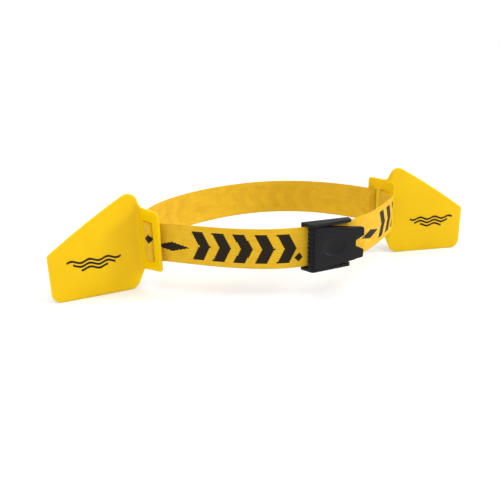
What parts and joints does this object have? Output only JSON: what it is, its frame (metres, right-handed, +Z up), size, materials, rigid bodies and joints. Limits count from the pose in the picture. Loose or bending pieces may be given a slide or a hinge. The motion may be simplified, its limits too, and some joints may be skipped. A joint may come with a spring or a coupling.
{
  "type": "hip rotation training belt",
  "caption": "Woven waist belt with a cam buckle at the front and a folded, slotted fin-like paddle threaded on it over each hip.",
  "frame": {"origin": "centre of the belt's bounding box, on the plane that the paddles' lower edges stand on", "axes": "+X along the widest way across the loop, towards the right-hand paddle as seen from the buckle; -Y towards the buckle at the front; +Z up, across the webbing"},
  "size_m": [0.5827, 0.2526, 0.1265],
  "materials": {
    "webbing": "woven elastic webbing",
    "thread": "matt thread",
    "paddle_plastic": "smooth, slightly translucent",
    "buckle_plastic": "satin moulded",
    "pin_steel": "drawn rod"
  },
  "bodies": {
    "belt": {"belt_back": "webbing", "belt_front_left": "webbing", "belt_front_right": "webbing", "fold_stitching": "thread", "buckle_frame": "buckle_plastic", "lever_pin": "pin_steel"},
    "lever": {"buckle_lever": "buckle_plastic"},
    "left_hip_paddle": {"left_paddle": "paddle_plastic", "left_belt_pass": "webbing"},
    "right_hip_paddle": {"right_paddle": "paddle_plastic", "right_belt_pass": "webbing"},
    "free_end": {"belt_free_end": "webbing"}
  },
  "joints": [
    {"name": "lever_hinge", "type": "hinge", "parent": "belt", "child": "lever", "pos_m": [0.0071, -0.11984, 0.0675], "axis": [0, 0, -1], "range_deg": [0, 100]},
    {"name": "left_paddle_slide", "type": "slide", "parent": "belt", "child": "left_hip_paddle", "axis": [0.4462, -0.8949, 0], "range_m": [-0.012, 0.012]},
    {"name": "right_paddle_slide", "type": "slide", "parent": "belt", "child": "right_hip_paddle", "axis": [-0.1994, 0.9799, 0], "range_m": [-0.012, 0.012]},
    {"name": "belt_adjust", "type": "slide", "parent": "belt", "child": "free_end", "axis": [0.9942, -0.108, 0], "range_m": [0, 0.04]}
  ]
}
